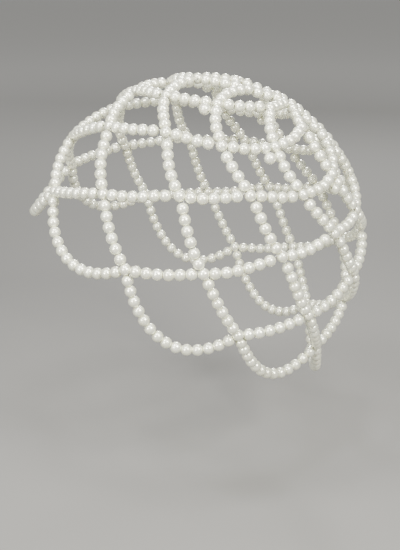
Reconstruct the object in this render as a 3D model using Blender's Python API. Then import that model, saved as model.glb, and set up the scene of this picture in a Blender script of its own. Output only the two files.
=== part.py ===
# Netted bridal cap of imitation pearls.
#
# A scalloped rim, six rounds of eight hanging loops above it, and a rosette at the net's centre.
# Every scallop and every loop is one string, made here as a smooth tube of the pearls' thickness.
# A loop's lowest pearl is the shared one: the strings of the round below end at it.
#
# +Z is up, -Y is the wearer's front and +X the wearer's left.
# The origin is the top of the head, on the inside of the cap.

import math

import bmesh
import bpy
from mathutils import Matrix, Vector

MM = 0.001

# Pearls: nominally 6 mm. They are a little wider than long, so a string holds them closer than their width.
PEARL = 6.2 * MM
PITCH = 5.6 * MM
GAP = 0.3 * MM

# The form that the pearls' centres lie on: an ellipsoid, as half sizes
HALF_WIDTH = 80.5 * MM
HALF_LENGTH = 90.0 * MM
HALF_HEIGHT = 88.5 * MM
SEAT_HEIGHT = HALF_HEIGHT - PEARL / 2

# The net
LOOPS = 8
STEP = 360.0 / LOOPS
NET_TILT = 32.0

# Rings of shared pearls, from the rim to the rosette.
# reach: angle from the net's centre, in degrees.
# lean, oval: how much the reach grows towards the front, and towards the front and back alike.
# crowd: how far the shared pearls at the quarters move round towards the front and back, in degrees.
# tip: how far from a shared pearl's middle, in millimetres, the strings that end at it stop.
RINGS = (
    {"reach": 98.1, "lean": 0.5, "oval": -2.1, "crowd": -2.0, "tip": 4.1},
    {"reach": 83.5, "lean": 0.5, "oval": -1.7, "crowd": -1.0, "tip": 4.5},
    {"reach": 67.0, "lean": 0.8, "oval": -0.6, "crowd": -0.2, "tip": 4.5},
    {"reach": 53.9, "lean": 0.6, "oval": 0.0, "crowd": -0.7, "tip": 4.8},
    {"reach": 44.9, "lean": 0.4, "oval": 0.3, "crowd": -0.9, "tip": 4.4},
    {"reach": 32.8, "lean": 0.0, "oval": 0.0, "crowd": -1.7, "tip": 3.0},
    {"reach": 16.5, "lean": 0.0, "oval": 0.0, "crowd": 0.0, "tip": 3.8},
)
EYE_REACH = 4.75

# Rounds of loops, each between two rings.
# pearls: how many pearls each of a loop's two strings has.
# bow, fullest: how far a string bows out from its loop, in millimetres, and where along it, from its foot.
ROUNDS = (
    {"pearls": 6, "bow": 1.0, "fullest": 0.45},
    {"pearls": 6, "bow": 1.5, "fullest": 0.4},
    {"pearls": 5, "bow": 1.8, "fullest": 0.4},
    {"pearls": 4, "bow": 1.4, "fullest": 0.6},
    {"pearls": 4, "bow": 2.3, "fullest": 0.5},
    {"pearls": 4, "bow": 2.3, "fullest": 0.45},
)

# Rim scallops, from the front one round.
# pearls: how many pearls the string has.
# pull: how much it sags straight down, instead of squarely from the line between its two shared pearls.
# free: how much it leaves the form where the form curves in under it.
# proud: how many millimetres its middle stands off that, as the front and nape ones do.
# closer: how many millimetres nearer to their shared pearls its ends come than the ring's tip.
SCALLOPS = (
    {"pearls": 14, "pull": 0.0, "free": 0.0, "proud": 3.0, "closer": 0.5},
    {"pearls": 13, "pull": 0.2, "free": 0.0, "proud": 0.0, "closer": 0.0},
    {"pearls": 14, "pull": 0.5, "free": 0.0, "proud": 0.0, "closer": 0.0},
    {"pearls": 13, "pull": 0.7, "free": 1.0, "proud": 0.0, "closer": 0.0},
    {"pearls": 14, "pull": 1.0, "free": 1.0, "proud": 3.5, "closer": 0.0},
    {"pearls": 13, "pull": 0.7, "free": 1.0, "proud": 0.0, "closer": 0.0},
    {"pearls": 14, "pull": 0.5, "free": 0.0, "proud": 0.0, "closer": 0.0},
    {"pearls": 13, "pull": 0.2, "free": 0.0, "proud": 0.0, "closer": 0.0},
)

# An extra pearl hangs in the corner under each shared pearl of this ring, fused to the string on one side
DROP_RING = 5
DROP_BITE = 1.0 * MM
DROP_PASSES = 30
HALVINGS = 30

# Tubes
TUBE_STEP = 14.0 * MM
TIP_SCALE = 0.5
TAPER = 7.6 * MM
TUBE_RESOLUTION = 2
CURVE_SAMPLES = 48
EYE_POINTS = 16
DROP_SEGMENTS = 10
DROP_RINGS = 6

PEARL_COLOUR = (0.80, 0.79, 0.74, 1.0)
PEARL_ROUGHNESS = 0.25


def clear_scene():
    for old in list(bpy.data.objects):
        bpy.data.objects.remove(old, do_unlink=True)


def pearl_material(name):
    material = bpy.data.materials.new(name)
    material.use_nodes = True
    shader = material.node_tree.nodes["Principled BSDF"]
    shader.inputs["Base Color"].default_value = PEARL_COLOUR
    shader.inputs["Roughness"].default_value = PEARL_ROUGHNESS
    shader.inputs["Metallic"].default_value = 0.0
    return material


def net_direction(reach, bearing):
    """The unit vector at an angle from the net's centre. Bearing 0 is the front, 90 the wearer's left."""
    polar, turn = math.radians(reach), math.radians(bearing)
    flat = Vector((math.sin(polar) * math.sin(turn), -math.sin(polar) * math.cos(turn), math.cos(polar)))
    return Matrix.Rotation(math.radians(-NET_TILT), 3, "X") @ flat


def on_form(direction):
    """The point where a direction from the form's middle meets the form."""
    gauge = Vector((direction.x / HALF_WIDTH, direction.y / HALF_LENGTH, direction.z / HALF_HEIGHT)).length
    return direction / gauge


def form_normal(point):
    return Vector((point.x / HALF_WIDTH**2, point.y / HALF_LENGTH**2, point.z / HALF_HEIGHT**2)).normalized()


def loop_bearing(ring, number):
    return STEP * (number + (0.5 if ring % 2 == 0 else 0.0))


def shared_pearl(ring, bearing):
    row, turn = RINGS[ring], math.radians(bearing)
    reach = row["reach"] + row["lean"] * math.cos(turn) + row["oval"] * math.cos(2 * turn)
    return on_form(net_direction(reach, bearing + row["crowd"] * math.sin(2 * turn)))


def eye_point(bearing):
    """A point on the small closed ring of pearls at the net's centre."""
    return on_form(net_direction(EYE_REACH, bearing))


def outward(start, end):
    """The direction along the form, square to the line from start to end, away from the net's centre."""
    aside = (end - start).cross(form_normal((start + end) / 2)).normalized()
    return -aside if aside.dot(net_direction(0, 0)) > 0 else aside


def string_curve(ring, bearing, side):
    """A string from a shared pearl up to one of the next ring, bowed out from its loop."""
    low = shared_pearl(ring, bearing)
    high = shared_pearl(ring + 1, bearing + side * STEP / 2)
    bow = outward(low, high) * ROUNDS[ring]["bow"] * MM
    fullest = ROUNDS[ring]["fullest"]
    points = []
    for i in range(CURVE_SAMPLES + 1):
        s = i / CURVE_SAMPLES
        swell = (s / fullest) ** (3 * fullest) * ((1 - s) / (1 - fullest)) ** (3 - 3 * fullest)
        points.append(on_form(low.lerp(high, s) + bow * swell))
    return points


def scallop_curve(number, depth):
    """A rim scallop that sags to a depth below the straight line between its two shared pearls."""
    row, bearing = SCALLOPS[number], STEP * number
    start = shared_pearl(0, bearing - STEP / 2)
    end = shared_pearl(0, bearing + STEP / 2)
    sag = outward(start, end).lerp(Vector((0, 0, -1)), row["pull"]).normalized()
    points = []
    for i in range(CURVE_SAMPLES + 1):
        s = i / CURVE_SAMPLES
        hanging = start.lerp(end, s) + sag * (4 * depth * s * (1 - s))
        lying = on_form(hanging)
        outside = hanging.length > lying.length
        resting = lying.lerp(hanging, row["free"]) if outside else lying
        points.append(resting + form_normal(resting) * (row["proud"] * MM * 4 * s * (1 - s)))
    return points


def curve_length(points):
    return sum((b - a).length for a, b in zip(points, points[1:]))


def hanging_scallop(number):
    """The scallop whose curve is as long as its pearls, its depth found by halving."""
    length = PITCH * (SCALLOPS[number]["pearls"] + 1)
    shallow, deep = 0.0, length / 2
    for _ in range(HALVINGS):
        depth = (shallow + deep) / 2
        if curve_length(scallop_curve(number, depth)) < length:
            shallow = depth
        else:
            deep = depth
    return scallop_curve(number, depth)


def point_at(points, distance):
    """The point at a distance along a curve, past its end along its last step."""
    for a, b in zip(points, points[1:]):
        step = (b - a).length
        if distance <= step:
            return a.lerp(b, distance / step)
        distance -= step
    return points[-1] + (points[-1] - points[-2]).normalized() * distance


def tube_stations(start, end):
    """Distances from start to end, evenly spaced and about a tube step apart."""
    count = max(1, round((end - start) / TUBE_STEP))
    return [start + (end - start) * i / count for i in range(count + 1)]


def tube_object(name, points, scales, material, cyclic=False):
    """A tube of the pearls' thickness through the points, as a closed mesh."""
    curve = bpy.data.curves.new(name, "CURVE")
    curve.dimensions = "3D"
    curve.bevel_depth = PEARL / 2
    curve.bevel_resolution = TUBE_RESOLUTION
    curve.render_resolution_u = 0
    curve.use_fill_caps = not cyclic
    spline = curve.splines.new("POLY")
    spline.points.add(len(points) - 1)
    spline.use_cyclic_u = cyclic
    for knot, point, scale in zip(spline.points, points, scales):
        knot.co = (*(point - Vector((0, 0, SEAT_HEIGHT))), 1)
        knot.radius = scale
    obj = bpy.data.objects.new(name, curve)
    bpy.context.scene.collection.objects.link(obj)
    bpy.ops.object.select_all(action="DESELECT")
    obj.select_set(True)
    bpy.context.view_layer.objects.active = obj
    bpy.ops.object.convert(target="MESH")
    mesh = bpy.context.object.data
    mesh.materials.clear()
    mesh.materials.append(material)
    mesh.shade_smooth()
    mesh.set_sharp_from_angle(angle=math.radians(50))
    return bpy.context.object


def add_union(obj, other):
    """Fuse another solid into this one, and hide the other."""
    union = obj.modifiers.new("fuse " + other.name, "BOOLEAN")
    union.operation = "UNION"
    union.solver = "EXACT"
    union.object = other
    other.hide_render = True
    other.display_type = "WIRE"


def rim_scallop(number, material):
    """One scallop of the rim, ending short of the shared pearls at its two ends."""
    curve = hanging_scallop(number)
    length = curve_length(curve)
    tip = (RINGS[0]["tip"] - SCALLOPS[number]["closer"]) * MM
    stations = [tip] + tube_stations(TAPER, length - TAPER) + [length - tip]
    scales = [TIP_SCALE] + [1.0] * (len(stations) - 2) + [TIP_SCALE]
    points = [point_at(curve, station) for station in stations]
    return tube_object(f"rim_scallop_{number + 1}", points, scales, material)


def loop_line(ring, number):
    """The points and scales of a loop: the shared pearl at its foot and a string up from each side of it."""
    bearing = loop_bearing(ring, number)
    points, scales = [shared_pearl(ring, bearing)], [1.0]
    for side in (-1, 1):
        curve = string_curve(ring, bearing, side)
        length = curve_length(curve)
        first = length / (ROUNDS[ring]["pearls"] + 1)
        stations = tube_stations(first, length - TAPER) + [length - RINGS[ring + 1]["tip"] * MM]
        side_points = [point_at(curve, station) for station in stations]
        side_scales = [1.0] * (len(stations) - 1) + [TIP_SCALE]
        if side < 0:
            points, scales = side_points[::-1] + points, side_scales[::-1] + scales
        else:
            points, scales = points + side_points, scales + side_scales
    return points, scales


def net_loop(ring, number, material):
    points, scales = loop_line(ring, number)
    return tube_object(f"round_{ring + 1}_loop_{number + 1}", points, scales, material)


def nearest(points, spot):
    """The place nearest to a spot on the straight runs between points."""
    places = []
    for a, b in zip(points, points[1:]):
        share = (spot - a).dot(b - a) / (b - a).length_squared
        places.append(a.lerp(b, min(max(share, 0.0), 1.0)))
    return min(places, key=lambda place: (place - spot).length)


def drop_centre(number):
    """The corner under a shared pearl: it bites into the loop on one side and clears the other one."""
    own, _ = loop_line(DROP_RING - 1, number)
    other, _ = loop_line(DROP_RING - 1, (number + 1) % LOOPS)
    bearing = STEP * (number + 1)
    centre = shared_pearl(DROP_RING, bearing).lerp(shared_pearl(DROP_RING - 2, bearing), 0.6)
    for _ in range(DROP_PASSES):
        for line, distance in ((own, PEARL - DROP_BITE), (other, PEARL + GAP)):
            place = nearest(line, centre)
            centre = place + (centre - place).normalized() * distance
        centre = on_form(centre)
    return centre


def drop_pearl(number):
    centre = drop_centre(number) - Vector((0, 0, SEAT_HEIGHT))
    mesh = bpy.data.meshes.new(f"drop pearl {number + 1}")
    shape = bmesh.new()
    bmesh.ops.create_uvsphere(
        shape,
        u_segments=DROP_SEGMENTS,
        v_segments=DROP_RINGS,
        radius=PEARL / 2,
        matrix=Matrix.Translation(centre),
    )
    shape.to_mesh(mesh)
    shape.free()
    ball = bpy.data.objects.new(mesh.name, mesh)
    bpy.context.scene.collection.objects.link(ball)
    return ball


def crown_rosette(material):
    """The ring of pearls at the net's centre, with eight spokes that end in shared pearls."""
    last_ring = len(ROUNDS)
    bearings = [360.0 * i / EYE_POINTS for i in range(EYE_POINTS)]
    eye = tube_object(
        "crown_rosette",
        [eye_point(bearing) for bearing in bearings],
        [1.0] * EYE_POINTS,
        material,
        cyclic=True,
    )
    for number in range(LOOPS):
        bearing = STEP * (number + 0.5)
        inner = eye_point(bearing)
        tip = shared_pearl(last_ring, bearing)
        out = (tip - inner).normalized()
        points = [inner + out * PEARL / 6, inner.lerp(tip, 0.5), tip, tip + out * (PEARL / 2)]
        spoke = tube_object(f"spoke {number + 1}", points, [1.0, 1.0, 1.0, TIP_SCALE], material)
        add_union(eye, spoke)
    return eye


def main():
    clear_scene()
    material = pearl_material("white pearl")
    for number in range(LOOPS):
        rim_scallop(number, material)
    for ring in range(len(ROUNDS)):
        for number in range(LOOPS):
            loop = net_loop(ring, number, material)
            if ring == DROP_RING - 1:
                add_union(loop, drop_pearl(number))
    crown_rosette(material)


main()
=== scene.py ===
# Netted bridal cap of imitation pearls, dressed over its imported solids.
#
# Every string of the net is a plain tube in the solids. Here each tube gives way to its row of
# drilled pearls, at the same place. A clear nylon thread runs through them and shows in the small
# gaps at the shared pearls.
# +Z is up, -Y is the wearer's front and +X the wearer's left.
# The origin is the top of the head, on the inside of the cap.

import math
import random

import bmesh
import bpy
from mathutils import Euler, Matrix, Vector

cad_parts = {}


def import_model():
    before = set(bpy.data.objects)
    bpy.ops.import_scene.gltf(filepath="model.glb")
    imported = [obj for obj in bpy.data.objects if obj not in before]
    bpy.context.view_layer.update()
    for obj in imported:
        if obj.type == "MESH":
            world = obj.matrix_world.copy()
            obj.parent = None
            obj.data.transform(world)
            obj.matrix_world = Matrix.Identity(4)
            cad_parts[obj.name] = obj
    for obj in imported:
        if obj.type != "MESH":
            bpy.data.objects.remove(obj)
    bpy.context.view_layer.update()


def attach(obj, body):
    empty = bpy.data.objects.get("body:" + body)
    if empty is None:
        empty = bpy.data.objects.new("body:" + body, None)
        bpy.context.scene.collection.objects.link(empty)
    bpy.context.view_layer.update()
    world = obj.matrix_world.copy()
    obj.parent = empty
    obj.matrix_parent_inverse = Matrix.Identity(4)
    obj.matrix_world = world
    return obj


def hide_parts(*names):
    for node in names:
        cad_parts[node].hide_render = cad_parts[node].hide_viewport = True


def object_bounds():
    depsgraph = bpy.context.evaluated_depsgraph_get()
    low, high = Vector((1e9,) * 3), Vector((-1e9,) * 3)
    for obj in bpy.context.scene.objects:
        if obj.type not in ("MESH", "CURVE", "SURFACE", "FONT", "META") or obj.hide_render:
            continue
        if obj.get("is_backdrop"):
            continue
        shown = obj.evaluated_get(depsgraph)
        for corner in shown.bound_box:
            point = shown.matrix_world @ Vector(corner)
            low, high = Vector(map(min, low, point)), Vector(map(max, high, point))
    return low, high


MM = 0.001

# Driving dimensions, as in the part's source
PEARL = 6.2 * MM
PITCH = 5.6 * MM
HALF_WIDTH = 80.5 * MM
HALF_LENGTH = 90.0 * MM
HALF_HEIGHT = 88.5 * MM
SEAT_HEIGHT = HALF_HEIGHT - PEARL / 2
FORM_MIDDLE = Vector((0, 0, -SEAT_HEIGHT))
LOOPS = 8
STEP = 360.0 / LOOPS
NET_TILT = 32.0

# Rings of shared pearls, from the rim to the rosette.
# reach: angle from the net's centre, in degrees.
# lean, oval: how much the reach grows towards the front, and towards the front and back alike.
# crowd: how far the pearls at the quarters move round towards the front and back, in degrees.
RINGS = (
    {"reach": 98.1, "lean": 0.5, "oval": -2.1, "crowd": -2.0},
    {"reach": 83.5, "lean": 0.5, "oval": -1.7, "crowd": -1.0},
    {"reach": 67.0, "lean": 0.8, "oval": -0.6, "crowd": -0.2},
    {"reach": 53.9, "lean": 0.6, "oval": 0.0, "crowd": -0.7},
    {"reach": 44.9, "lean": 0.4, "oval": 0.3, "crowd": -0.9},
    {"reach": 32.8, "lean": 0.0, "oval": 0.0, "crowd": -1.7},
    {"reach": 16.5, "lean": 0.0, "oval": 0.0, "crowd": 0.0},
)

# Rounds of loops, each between two rings.
# pearls: how many pearls each of a loop's two strings has.
# bow, fullest: how far a string bows out, in millimetres, and where along it, from its foot.
ROUNDS = (
    {"pearls": 6, "bow": 1.0, "fullest": 0.45},
    {"pearls": 6, "bow": 1.5, "fullest": 0.4},
    {"pearls": 5, "bow": 1.8, "fullest": 0.4},
    {"pearls": 4, "bow": 1.4, "fullest": 0.6},
    {"pearls": 4, "bow": 2.3, "fullest": 0.5},
    {"pearls": 4, "bow": 2.3, "fullest": 0.45},
)

# Rim scallops, from the front one round.
# pearls: how many pearls the string has.
# pull: how much it sags straight down, instead of squarely from its two shared pearls' line.
# free: how much it leaves the form where the form curves in under it.
# proud: how many millimetres its middle stands off that.
SCALLOPS = (
    {"pearls": 14, "pull": 0.0, "free": 0.0, "proud": 3.0},
    {"pearls": 13, "pull": 0.2, "free": 0.0, "proud": 0.0},
    {"pearls": 14, "pull": 0.5, "free": 0.0, "proud": 0.0},
    {"pearls": 13, "pull": 0.7, "free": 1.0, "proud": 0.0},
    {"pearls": 14, "pull": 1.0, "free": 1.0, "proud": 3.5},
    {"pearls": 13, "pull": 0.7, "free": 1.0, "proud": 0.0},
    {"pearls": 14, "pull": 0.5, "free": 0.0, "proud": 0.0},
    {"pearls": 13, "pull": 0.2, "free": 0.0, "proud": 0.0},
)
CURVE_SAMPLES = 48
HALVINGS = 30

# The rosette: a closed ring of pearls at the net's centre, and spokes
EYE_REACH = 4.75
EYE_PEARLS = 8
SPOKE_PEARLS = 2

# The extra pearl in the corner under each shared pearl of this ring. It starts a share of the way
# down to the shared pearl two rings below. On each pass it is pushed clear of the last pearls of both
# lower strings, and drawn a share of the way back up to its corner.
DROP_RING = 5
DROP_NEIGHBOURS = 3
DROP_START = 0.55
DROP_DRAW = 0.04
DROP_PASSES = 40

# The pearl, a little flat at its drilled ends. Its hole opens at a distance from its middle
PEARL_SEGMENTS = 12
PEARL_BANDS = 6
POLE_HEIGHT = PEARL / 2 * 0.99
SMOOTH_ANGLE = 60.0
HOLE_RADIUS = 0.5 * MM
HOLE_MOUTH = 2.72 * MM

# On its thread each pearl is tilted a few degrees and lies a hair off its spot
PEARL_TILT = 4.0
PEARL_WANDER = 0.05 * MM
THREAD_RADIUS = 0.16 * MM

# The lacquer: the size of its clouds, the height of their relief, and how deep light goes into it
CLOUD_SIZE = 0.5 * MM
CLOUD_RELIEF = 0.1 * MM
GLOW_DEPTH = 1.0 * MM

# The photo's view. The camera faces the form's middle, then moves down along its own upright
CAMERA_AZIMUTH = 91.24
CAMERA_ELEVATION = 19.06
CAMERA_DISTANCE = 0.5674
CAMERA_LOWERED = 21.2 * MM
CAMERA_LENS = 66.08

# The floor, and its paper's tone at a few distances from the middle: painted shade where the
# lamps reach its middle, and painted light further out, so that it looks even
FLOOR_DROP = 60 * MM
FLOOR_SIZE = 40.0
PAPER_REACH = 10.0
PAINTED_FALLOFF_TONES = ((0.45, "#787774"), (1.9, "#E3E2DF"), (PAPER_REACH, "#FAFAF8"))

# Square soft boxes that face the form's middle, at azimuths counted from the front.
# Columns: name, azimuth, elevation, distance, width, watts, tint.
WARM_WHITE = "#FFFDF6"
WHITE = "#FFFFFF"
SOFT_BOXES = (
    ("right", 124, 34, 0.75, 0.17, 9.5, WARM_WHITE),
    ("left", 54, 18, 0.75, 0.17, 5.8, WARM_WHITE),
    ("high left", 45, 56, 0.75, 0.17, 5.2, WHITE),
    ("top", 102, 68, 0.75, 0.17, 4, WHITE),
    ("far side", 262, 38, 0.9, 0.2, 7, WHITE),
)
ROOM_TINT = "#D8D8D6"
ROOM_STRENGTH = 0.5

# The pearls' shades, turns and tilts are drawn from one fixed run of chance
CHANCE_SEED = 11


def linear(hex_colour):
    """An sRGB hex colour as linear red, green, blue and alpha."""
    parts = [int(hex_colour[i : i + 2], 16) / 255 for i in (1, 3, 5)]
    return (*(c / 12.92 if c <= 0.04045 else ((c + 0.055) / 1.055) ** 2.4 for c in parts), 1.0)


def net_direction(reach, bearing):
    """The unit vector at an angle from the net's centre. Bearing 0 is the front, 90 the left."""
    polar, turn = math.radians(reach), math.radians(bearing)
    away = math.sin(polar)
    flat = Vector((away * math.sin(turn), -away * math.cos(turn), math.cos(polar)))
    return Matrix.Rotation(math.radians(-NET_TILT), 3, "X") @ flat


def on_form(direction):
    """Where a direction from the form's middle meets the form that the pearls' centres lie on."""
    gauge = (direction.x / HALF_WIDTH, direction.y / HALF_LENGTH, direction.z / HALF_HEIGHT)
    return direction / Vector(gauge).length


def form_normal(point):
    """The direction straight out of the form at a point on it."""
    slope = (point.x / HALF_WIDTH**2, point.y / HALF_LENGTH**2, point.z / HALF_HEIGHT**2)
    return Vector(slope).normalized()


def loop_bearing(ring, number):
    """Where a loop's foot lies round the net. Each round's loops stand between the last one's."""
    return STEP * (number + (0.5 if ring % 2 == 0 else 0.0))


def shared_pearl(ring, bearing):
    """The middle of a pearl that two strings share, on a ring that is a little off a true circle."""
    row, turn = RINGS[ring], math.radians(bearing)
    reach = row["reach"] + row["lean"] * math.cos(turn) + row["oval"] * math.cos(2 * turn)
    return on_form(net_direction(reach, bearing + row["crowd"] * math.sin(2 * turn)))


def outward(start, end):
    """The direction along the form, square to the line from start to end and out from the net."""
    aside = (end - start).cross(form_normal((start + end) / 2)).normalized()
    return -aside if aside.dot(net_direction(0, 0)) > 0 else aside


def string_curve(ring, bearing, side):
    """A string from a shared pearl up to one of the next ring, bowed out from its loop."""
    low = shared_pearl(ring, bearing)
    high = shared_pearl(ring + 1, bearing + side * STEP / 2)
    bow = outward(low, high) * ROUNDS[ring]["bow"] * MM
    fullest = ROUNDS[ring]["fullest"]
    points = []
    for i in range(CURVE_SAMPLES + 1):
        s = i / CURVE_SAMPLES
        swell = (s / fullest) ** (3 * fullest) * ((1 - s) / (1 - fullest)) ** (3 - 3 * fullest)
        points.append(on_form(low.lerp(high, s) + bow * swell))
    return points


def scallop_curve(number, depth):
    """A rim scallop that sags to a depth below the straight line between its two shared pearls."""
    row, bearing = SCALLOPS[number], STEP * number
    start = shared_pearl(0, bearing - STEP / 2)
    end = shared_pearl(0, bearing + STEP / 2)
    sag = outward(start, end).lerp(Vector((0, 0, -1)), row["pull"]).normalized()
    points = []
    for i in range(CURVE_SAMPLES + 1):
        s = i / CURVE_SAMPLES
        hanging = start.lerp(end, s) + sag * (4 * depth * s * (1 - s))
        lying = on_form(hanging)
        outside = hanging.length > lying.length
        resting = lying.lerp(hanging, row["free"]) if outside else lying
        points.append(resting + form_normal(resting) * (row["proud"] * MM * 4 * s * (1 - s)))
    return points


def curve_length(points):
    return sum((b - a).length for a, b in zip(points, points[1:]))


def point_at(points, distance):
    """The point at a distance along a curve."""
    for a, b in zip(points, points[1:]):
        step = (b - a).length
        if distance <= step:
            return a.lerp(b, distance / step)
        distance -= step
    return points[-1].copy()


def hanging_scallop(number):
    """The scallop whose curve is as long as its pearls, its depth found by halving."""
    length = PITCH * (SCALLOPS[number]["pearls"] + 1)
    shallow, deep = 0.0, length / 2
    for _ in range(HALVINGS):
        depth = (shallow + deep) / 2
        if curve_length(scallop_curve(number, depth)) < length:
            shallow = depth
        else:
            deep = depth
    return scallop_curve(number, depth)


def strung(curve, pearls):
    """The middles of a string's pearls, close together from its start, with the slack at its end."""
    pitch = min(PITCH, curve_length(curve) / (pearls + 1))
    return [point_at(curve, pitch * (i + 1)) for i in range(pearls)]


def loop_row(ring, number):
    """The middles of one loop's pearls, from one tip round its foot to the other."""
    bearing = loop_bearing(ring, number)
    pearls = ROUNDS[ring]["pearls"]
    left = strung(string_curve(ring, bearing, -1), pearls)
    right = strung(string_curve(ring, bearing, 1), pearls)
    return left[::-1] + [shared_pearl(ring, bearing)] + right


def hole_mouth(ring, bearing, arriving):
    """The end of a shared pearl's hole that an arriving thread goes into: the nearer one."""
    middle = shared_pearl(ring, bearing)
    if ring == len(ROUNDS):
        axis = middle - on_form(net_direction(EYE_REACH, bearing))
    else:
        left = string_curve(ring, bearing, -1)
        right = string_curve(ring, bearing, 1)
        axis = point_at(right, PITCH) - point_at(left, PITCH)
    mouths = [middle + axis.normalized() * HOLE_MOUTH * side for side in (-1, 1)]
    return min(mouths, key=lambda mouth: (mouth - arriving).length)


def drop_spot(number):
    """The middle of the extra pearl in the corner under a shared pearl, against both lower strings."""
    ring = DROP_RING - 1
    bearing = STEP * (number + 1)
    left = loop_row(ring, number)
    right = loop_row(ring, (number + 1) % LOOPS)
    neighbours = left[-DROP_NEIGHBOURS:] + right[:DROP_NEIGHBOURS]
    corner = shared_pearl(DROP_RING, bearing)
    spot = corner.lerp(shared_pearl(DROP_RING - 2, bearing), DROP_START)
    for _ in range(DROP_PASSES):
        for other in neighbours:
            if (spot - other).length < PEARL:
                spot = other + (spot - other).normalized() * PEARL
        spot = on_form(spot + (corner - spot) * DROP_DRAW)
    return spot


def drop_line(number):
    """The thread through the extra pearl, from the last pearls of one lower string to the other's."""
    left = loop_row(DROP_RING - 1, number)
    right = loop_row(DROP_RING - 1, (number + 1) % LOOPS)
    return [left[-1].lerp(left[-2], 0.5), drop_spot(number), right[0].lerp(right[1], 0.5)]


def alone(obj):
    """Selects one object and makes it the active one."""
    bpy.ops.object.select_all(action="DESELECT")
    obj.select_set(True)
    bpy.context.view_layer.objects.active = obj


def select_poles(mesh):
    """Selects the two end points of a new ball, where the drill goes through."""
    for vertex in mesh.vertices:
        vertex.select = abs(vertex.co.z) > POLE_HEIGHT


def drilled_pearl():
    """One pearl, drilled along Z: a ball with flattened ends, joined by the drill's tunnel."""
    bpy.ops.object.select_all(action="DESELECT")
    bpy.ops.mesh.primitive_uv_sphere_add(
        segments=PEARL_SEGMENTS,
        ring_count=PEARL_BANDS,
        radius=PEARL / 2,
    )
    pearl = bpy.context.object
    pearl.name = "pearl pattern"
    bpy.ops.object.mode_set(mode="EDIT")
    bpy.ops.mesh.select_mode(type="VERT")
    bpy.ops.mesh.select_all(action="DESELECT")
    bpy.ops.object.mode_set(mode="OBJECT")
    select_poles(pearl.data)
    bpy.ops.object.mode_set(mode="EDIT")
    bpy.ops.mesh.delete(type="VERT")
    bpy.ops.mesh.select_all(action="DESELECT")
    bpy.ops.mesh.select_non_manifold()
    rim_radius = PEARL / 2 * math.sin(math.pi / PEARL_BANDS)
    rim_height = PEARL / 2 * math.cos(math.pi / PEARL_BANDS)
    inward = HOLE_RADIUS / rim_radius
    bpy.ops.mesh.extrude_edges_move()
    bpy.ops.transform.resize(value=(inward, inward, HOLE_MOUTH / rim_height))
    bpy.ops.mesh.bridge_edge_loops()
    bpy.ops.mesh.select_all(action="SELECT")
    bpy.ops.mesh.normals_make_consistent(inside=False)
    bpy.ops.object.mode_set(mode="OBJECT")
    alone(pearl)
    bpy.ops.object.shade_smooth_by_angle(angle=math.radians(SMOOTH_ANGLE))
    return pearl


def pearl_places(row, axes, chance):
    """A matrix for each pearl of a row: on its spot, along its string, turned and tilted a little."""
    places = []
    for spot, axis in zip(row, axes):
        turn = Euler((0, 0, chance.uniform(0, math.tau))).to_matrix()
        lean = [math.radians(chance.uniform(-PEARL_TILT, PEARL_TILT)) for _ in "xy"]
        tilt = Euler(lean + [0]).to_matrix()
        along = axis.to_track_quat("Z", "Y").to_matrix()
        wander = Vector([chance.uniform(-PEARL_WANDER, PEARL_WANDER) for _ in "xyz"])
        place = (along @ tilt @ turn).to_4x4()
        place.translation = spot + wander + FORM_MIDDLE
        places.append(place)
    return places


def row_axes(row):
    """The drill direction of each pearl in an open row: along its two neighbours."""
    ends = [row[0]] + list(row) + [row[-1]]
    return [(after - before).normalized() for before, after in zip(ends, ends[2:])]


def string_of_pearls(name, pattern, places, material, chance):
    """The pearls of one string as one mesh, each with its own shade in the attribute lacquer_tone."""
    string = bmesh.new()
    tones = []
    for place in places:
        first = len(string.verts)
        string.from_mesh(pattern.data)
        string.verts.ensure_lookup_table()
        bmesh.ops.transform(string, matrix=place, verts=string.verts[first:])
        tones += [chance.random()] * (len(string.verts) - first)
    mesh = bpy.data.meshes.new(name)
    string.to_mesh(mesh)
    string.free()
    mesh.attributes.new("lacquer_tone", "FLOAT", "POINT").data.foreach_set("value", tones)
    mesh.materials.append(material)
    piece = bpy.data.objects.new(name, mesh)
    bpy.context.scene.collection.objects.link(piece)
    return piece


def nylon_thread(name, lines, material):
    """The thread of one round as one mesh: a fine round line along each run of points."""
    curve = bpy.data.curves.new(name, "CURVE")
    curve.dimensions = "3D"
    curve.bevel_depth = THREAD_RADIUS
    curve.bevel_resolution = 1
    curve.use_fill_caps = True
    for line in lines:
        spline = curve.splines.new("POLY")
        spline.points.add(len(line) - 1)
        for knot, point in zip(spline.points, line):
            knot.co = (*(point + FORM_MIDDLE), 1)
    thread = bpy.data.objects.new(name, curve)
    bpy.context.scene.collection.objects.link(thread)
    alone(thread)
    bpy.ops.object.convert(target="MESH")
    thread = bpy.context.object
    thread.data.materials.clear()
    thread.data.materials.append(material)
    bpy.ops.object.shade_smooth()
    return thread


def node(tree, kind, links=(), **settings):
    """Adds a node, sets its properties or socket values, and links sockets from other nodes into it."""
    made = tree.nodes.new(kind)
    for key, value in settings.items():
        if hasattr(made, key):
            setattr(made, key, value)
        else:
            made.inputs[key.replace("_", " ")].default_value = value
    for source, output, target in links:
        tree.links.new(source.outputs[output], made.inputs[target])
    return made


def new_material(name):
    """A material with an empty node tree."""
    material = bpy.data.materials.new(name)
    material.use_nodes = True
    tree = material.node_tree
    tree.nodes.clear()
    return material, tree


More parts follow.
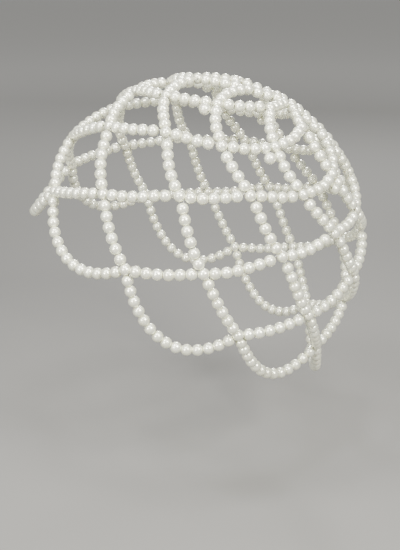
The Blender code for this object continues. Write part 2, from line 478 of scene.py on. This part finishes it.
def pearl_lacquer():
    """
    Imitation pearl: a moulded plastic bead dipped in pearl-essence lacquer. It gives a bright white
    body, warm in the shade, with broad silvery lobes from the flakes in the lacquer and small clear
    glints from its top coat.
    """
    material, tree = new_material("pearl essence lacquer on moulded bead")
    tone = node(tree, "ShaderNodeAttribute", attribute_name="lacquer_tone")
    shade = node(tree, "ShaderNodeValToRGB", links=[(tone, "Fac", "Fac")])
    shade.color_ramp.elements[0].color = linear("#F4F5E3")
    shade.color_ramp.elements[1].color = linear("#EEEED9")
    spot = node(tree, "ShaderNodeTexCoord")
    # Flakes in the lacquer are 0.05 mm. They are drawn ten times as coarse, so that they show
    clouds = node(
        tree,
        "ShaderNodeTexNoise",
        links=[(spot, "Object", "Vector")],
        Scale=1 / CLOUD_SIZE,
        Detail=2.0,
    )
    bump = node(
        tree,
        "ShaderNodeBump",
        links=[(clouds, "Fac", "Height")],
        Strength=0.4,
        Distance=CLOUD_RELIEF,
    )
    satin = node(
        tree,
        "ShaderNodeMapRange",
        links=[(clouds, "Fac", "Value")],
        From_Min=0.3,
        From_Max=0.7,
        To_Min=0.26,
        To_Max=0.36,
    )
    shader = node(
        tree,
        "ShaderNodeBsdfPrincipled",
        links=[
            (shade, "Color", "Base Color"),
            (bump, "Normal", "Normal"),
            (satin, "Result", "Roughness"),
        ],
        Metallic=0.5,
        IOR=1.5,
        Subsurface_Weight=0.1,
        Subsurface_Radius=(1.0, 0.85, 0.7),
        Subsurface_Scale=GLOW_DEPTH,
        Coat_Weight=0.6,
        Coat_Roughness=0.1,
        Coat_IOR=1.5,
    )
    node(tree, "ShaderNodeOutputMaterial", links=[(shader, "BSDF", "Surface")])
    return material


def clear_nylon():
    """Clear nylon monofilament: drawn, glassy, and seen mostly by its fine bright glints."""
    material, tree = new_material("clear nylon monofilament")
    shader = node(
        tree,
        "ShaderNodeBsdfPrincipled",
        Base_Color=linear("#F2F2EE"),
        Transmission_Weight=0.4,
        Roughness=0.18,
        IOR=1.53,
    )
    node(tree, "ShaderNodeOutputMaterial", links=[(shader, "BSDF", "Surface")])
    return material


def backdrop_paper():
    """Matt pale paper, with painted shade in the middle, where the lamps reach, and painted light
    further out, so that it looks even.
    """
    material, tree = new_material("matt backdrop paper")
    spot = node(tree, "ShaderNodeTexCoord")
    away = node(
        tree,
        "ShaderNodeVectorMath",
        links=[(spot, "Object", "Vector")],
        operation="LENGTH",
    )
    share = node(
        tree,
        "ShaderNodeMapRange",
        links=[(away, "Value", "Value")],
        From_Max=PAPER_REACH,
    )
    # The ramp paints shade near the middle, where the lamps reach, and light further out
    shade = node(tree, "ShaderNodeValToRGB", links=[(share, "Result", "Fac")])
    shade.color_ramp.interpolation = "EASE"
    stops = shade.color_ramp.elements
    stops.new(0.5)
    for stop, (distance, tone) in zip(stops, PAINTED_FALLOFF_TONES):
        stop.position = distance / PAPER_REACH
        stop.color = linear(tone)
    shader = node(
        tree,
        "ShaderNodeBsdfPrincipled",
        links=[(shade, "Color", "Base Color")],
        Roughness=0.9,
    )
    node(tree, "ShaderNodeOutputMaterial", links=[(shader, "BSDF", "Surface")])
    return material


def dress(piece, *nodes):
    """Puts a string of pearls in the place of its plain tubes."""
    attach(piece, "root")
    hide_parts(*nodes)


def dress_scallops(pattern, lacquer, nylon, chance):
    """The eight scallops of the rim and their thread."""
    lines = []
    for number in range(LOOPS):
        curve = hanging_scallop(number)
        row = strung(curve, SCALLOPS[number]["pearls"])
        name = f"rim_scallop_{number + 1}"
        places = pearl_places(row, row_axes(row), chance)
        dress(string_of_pearls(name + "_pearls", pattern, places, lacquer, chance), name)
        starts = hole_mouth(0, STEP * (number - 0.5), row[0])
        ends = hole_mouth(0, STEP * (number + 0.5), row[-1])
        lines.append([starts] + row + [ends])
    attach(nylon_thread("rim_thread", lines, nylon), "root")


def dress_rounds(pattern, lacquer, nylon, chance):
    """The six rounds of loops with their threads. The fifth round also carries the extra pearls."""
    for ring in range(len(ROUNDS)):
        lines = []
        for number in range(LOOPS):
            row = loop_row(ring, number)
            bearing = loop_bearing(ring, number)
            start = hole_mouth(ring + 1, bearing - STEP / 2, row[0])
            end = hole_mouth(ring + 1, bearing + STEP / 2, row[-1])
            lines.append([start] + row + [end])
            places = pearl_places(row, row_axes(row), chance)
            if ring == DROP_RING - 1:
                line = drop_line(number)
                lines.append(line)
                places += pearl_places([line[1]], [(line[2] - line[0]).normalized()], chance)
            name = f"round_{ring + 1}_loop_{number + 1}"
            dress(string_of_pearls(name + "_pearls", pattern, places, lacquer, chance), name)
        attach(nylon_thread(f"round_{ring + 1}_thread", lines, nylon), "root")


def dress_rosette(pattern, lacquer, nylon, chance):
    """The closed ring at the net's centre and the spokes out to the last shared pearls."""
    bearings = [STEP * (number + 0.5) for number in range(EYE_PEARLS)]
    eye = [on_form(net_direction(EYE_REACH, bearing)) for bearing in bearings]
    axes = [(eye[(i + 1) % EYE_PEARLS] - eye[i - 1]).normalized() for i in range(EYE_PEARLS)]
    places = pearl_places(eye, axes, chance)
    lines = [eye + eye[:1]]
    for inner, bearing in zip(eye, bearings):
        tip = shared_pearl(len(ROUNDS), bearing)
        row = [inner.lerp(tip, share / (SPOKE_PEARLS + 1)) for share in range(1, SPOKE_PEARLS + 2)]
        places += pearl_places(row, row_axes(row), chance)
        lines.append([inner] + row)
    dress(string_of_pearls("crown_rosette_pearls", pattern, places, lacquer, chance), "crown_rosette")
    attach(nylon_thread("rosette_thread", lines, nylon), "root")


def lay_floor(paper):
    """A floor well under the cap, which stays where it is worn."""
    low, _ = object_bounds()
    bpy.ops.object.select_all(action="DESELECT")
    bpy.ops.mesh.primitive_plane_add(size=FLOOR_SIZE, location=(0, 0, low.z - FLOOR_DROP))
    floor = bpy.context.object
    floor.name = "studio_floor"
    floor.data.materials.append(paper)
    floor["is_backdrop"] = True


def seen_from(azimuth, elevation):
    """The direction from the form's middle to an azimuth, counted from the front, and an elevation."""
    turn, rise = math.radians(azimuth), math.radians(elevation)
    return Vector((math.sin(turn) * math.cos(rise), -math.cos(turn) * math.cos(rise), math.sin(rise)))


def set_camera():
    """The camera at the photo's angle and distance."""
    back = seen_from(CAMERA_AZIMUTH, CAMERA_ELEVATION)
    camera = bpy.data.objects.new("photo camera", bpy.data.cameras.new("photo camera"))
    bpy.context.scene.collection.objects.link(camera)
    up = (Vector((0, 0, 1)) - back * back.z).normalized()
    camera.location = FORM_MIDDLE + back * CAMERA_DISTANCE - up * CAMERA_LOWERED
    camera.rotation_euler = back.to_track_quat("Z", "Y").to_euler()
    camera.data.lens = CAMERA_LENS
    bpy.context.scene.camera = camera


def hang_soft_box(name, azimuth, elevation, distance, width, watts, tint):
    """One soft box, facing the form's middle and hidden from the camera."""
    towards = seen_from(azimuth, elevation)
    lamp = bpy.data.lights.new(name + " soft box", "AREA")
    lamp.shape = "SQUARE"
    lamp.size = width
    lamp.energy = watts
    lamp.color = linear(tint)[:3]
    holder = bpy.data.objects.new(lamp.name, lamp)
    bpy.context.scene.collection.objects.link(holder)
    holder.location = FORM_MIDDLE + towards * distance
    holder.rotation_euler = (-towards).to_track_quat("-Z", "Y").to_euler()
    holder.visible_camera = False


def light_studio():
    """The soft boxes and an even room round them."""
    for soft_box in SOFT_BOXES:
        hang_soft_box(*soft_box)
    world = bpy.data.worlds.new("studio room")
    world.use_nodes = True
    room = world.node_tree.nodes["Background"]
    room.inputs["Color"].default_value = linear(ROOM_TINT)
    room.inputs["Strength"].default_value = ROOM_STRENGTH
    bpy.context.scene.world = world


def main():
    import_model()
    chance = random.Random(CHANCE_SEED)
    lacquer = pearl_lacquer()
    nylon = clear_nylon()
    pattern = drilled_pearl()
    dress_scallops(pattern, lacquer, nylon, chance)
    dress_rounds(pattern, lacquer, nylon, chance)
    dress_rosette(pattern, lacquer, nylon, chance)
    bpy.data.objects.remove(pattern, do_unlink=True)
    lay_floor(backdrop_paper())
    set_camera()
    light_studio()


main()
